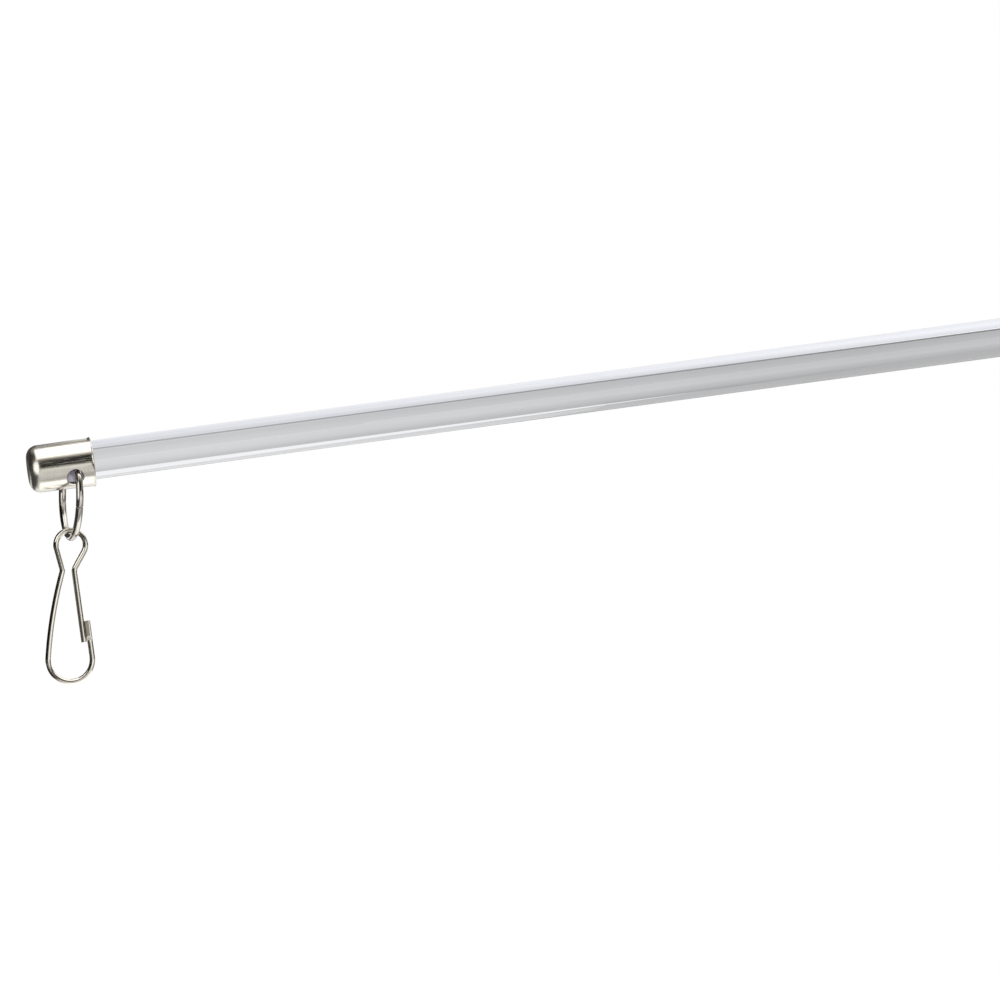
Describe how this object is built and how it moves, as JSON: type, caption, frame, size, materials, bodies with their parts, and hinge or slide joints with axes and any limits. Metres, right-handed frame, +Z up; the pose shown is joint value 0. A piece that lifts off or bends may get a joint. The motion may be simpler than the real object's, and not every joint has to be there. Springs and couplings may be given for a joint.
{
  "type": "curtain wand",
  "caption": "Long clear round rod with a plated end cap, a jump ring through the cap and a spring-gate wire hook, used to draw a curtain by hand.",
  "frame": {"origin": "On the rod's axis at the mouth of the end cap, where the bare rod begins.", "axes": "+X runs along the rod from the cap to the free end, +Z is up, and the lower end of the cross hole faces -Y. The ring and hook hang below the cap, leaning towards its closed end as in the picture."},
  "size_m": [0.919, 0.022, 0.0592],
  "materials": {
    "clear_acrylic": "gloss",
    "plated_cap": "polished",
    "plated_wire": "polished"
  },
  "bodies": {
    "wand": {"rod": "clear_acrylic", "end_cap": "plated_cap"},
    "ring": {"ring": "plated_wire"},
    "hook": {"snap_hook": "plated_wire"}
  },
  "joints": [
    {"name": "ring_swing", "type": "hinge", "parent": "wand", "child": "ring", "pos_m": [-0.00495, 0, -0.00041], "axis": [0, 0.8192, 0.5736], "range_deg": [-60, 225]},
    {"name": "hook_swing", "type": "hinge", "parent": "ring", "child": "hook", "pos_m": [-0.00715, 0.00481, -0.01619], "axis": [0.9871, -0.0785, -0.1393], "range_deg": [-75, 75]}
  ]
}
